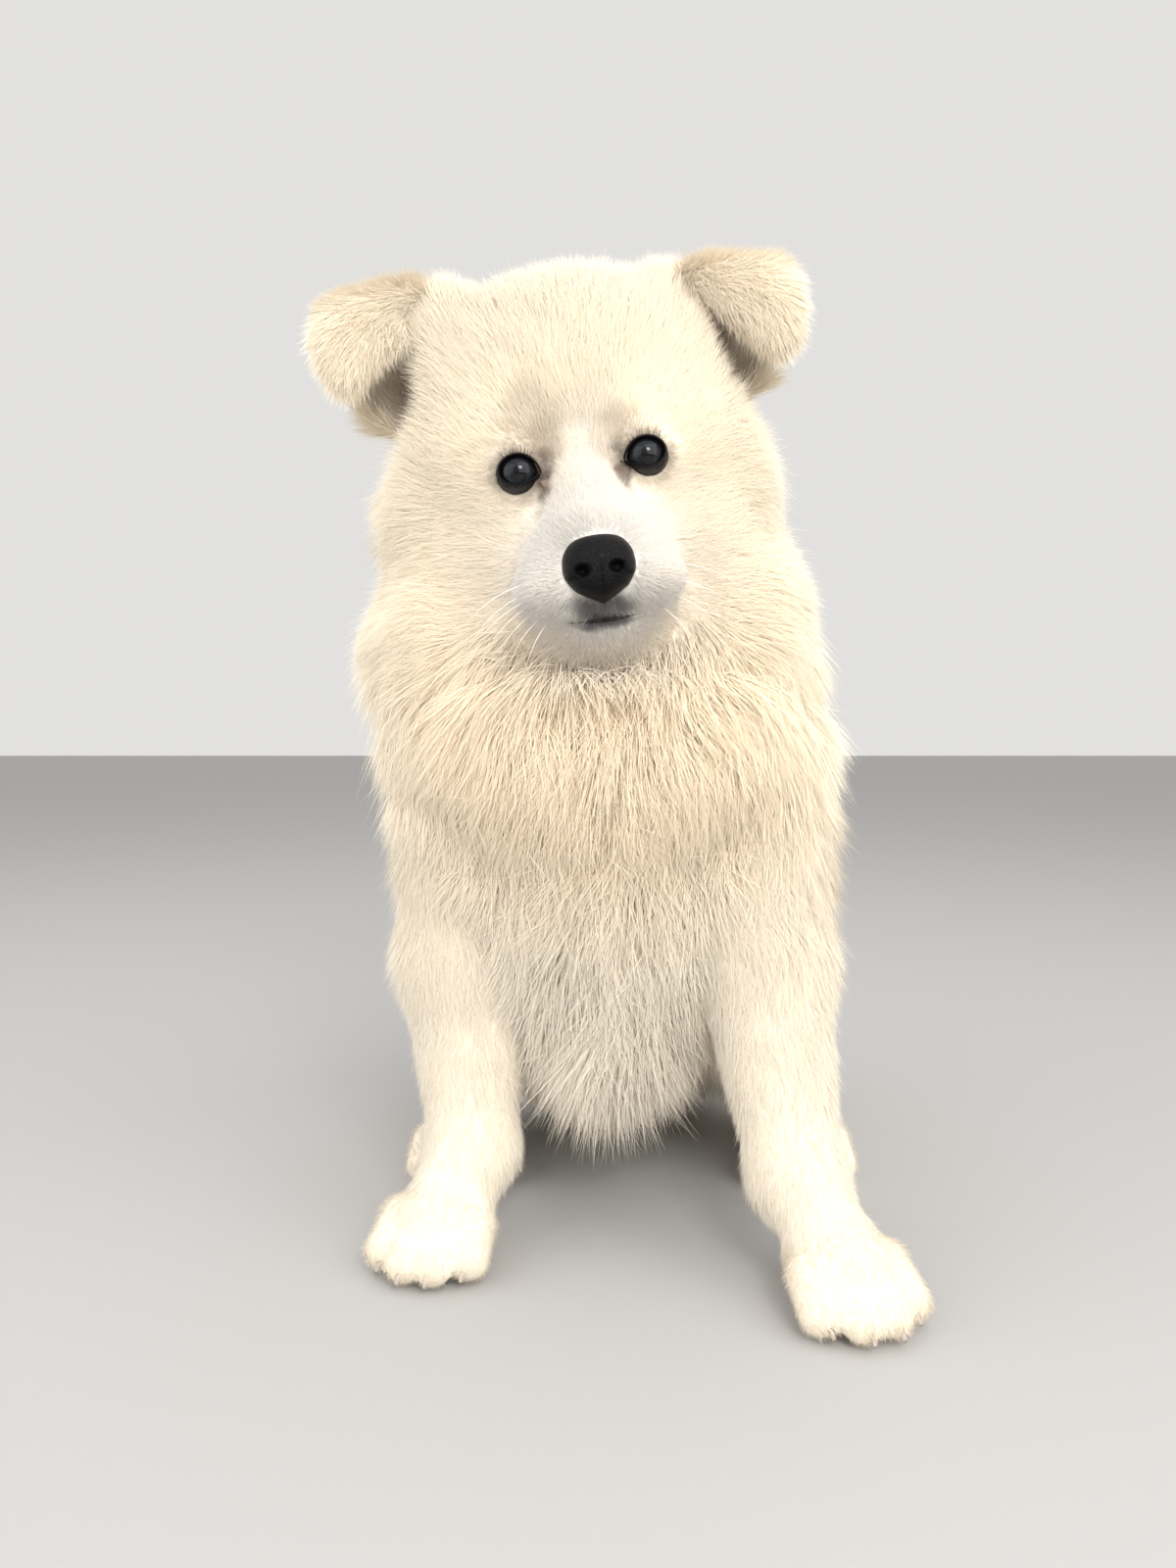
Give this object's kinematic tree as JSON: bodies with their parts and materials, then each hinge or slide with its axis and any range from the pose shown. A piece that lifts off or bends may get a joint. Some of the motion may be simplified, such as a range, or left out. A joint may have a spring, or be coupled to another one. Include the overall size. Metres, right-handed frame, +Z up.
{
  "type": "samoyed puppy model",
  "caption": "Life-size still model of a white and cream Samoyed puppy sitting with its forelegs braced apart and its head tilted.",
  "frame": {"origin": "floor level, under the middle of the model's bounding box", "axes": "+Z up, the puppy faces -Y and its own left side is +X"},
  "size_m": [0.2336, 0.3684, 0.4048],
  "materials": {
    "coat": "matte",
    "coat_legs": "matte",
    "coat_ears": "matte",
    "black_leather": "satin",
    "eye": "gloss"
  },
  "bodies": {
    "root": {"head": "coat", "lower_jaw": "coat", "nose": "black_leather", "eye_left": "eye", "eye_right": "eye", "eyelids_left": "black_leather", "eyelids_right": "black_leather", "ear_left": "coat_ears", "ear_right": "coat_ears", "neck": "coat", "chest": "coat", "loin_and_rump": "coat", "foreleg_left": "coat_legs", "foreleg_right": "coat_legs", "front_paw_left": "coat_legs", "front_paw_right": "coat_legs", "thigh_left": "coat", "thigh_right": "coat", "hock_left": "coat_legs", "hock_right": "coat_legs", "hind_paw_left": "coat_legs", "hind_paw_right": "coat_legs", "tail": "coat"}
  },
  "joints": []
}
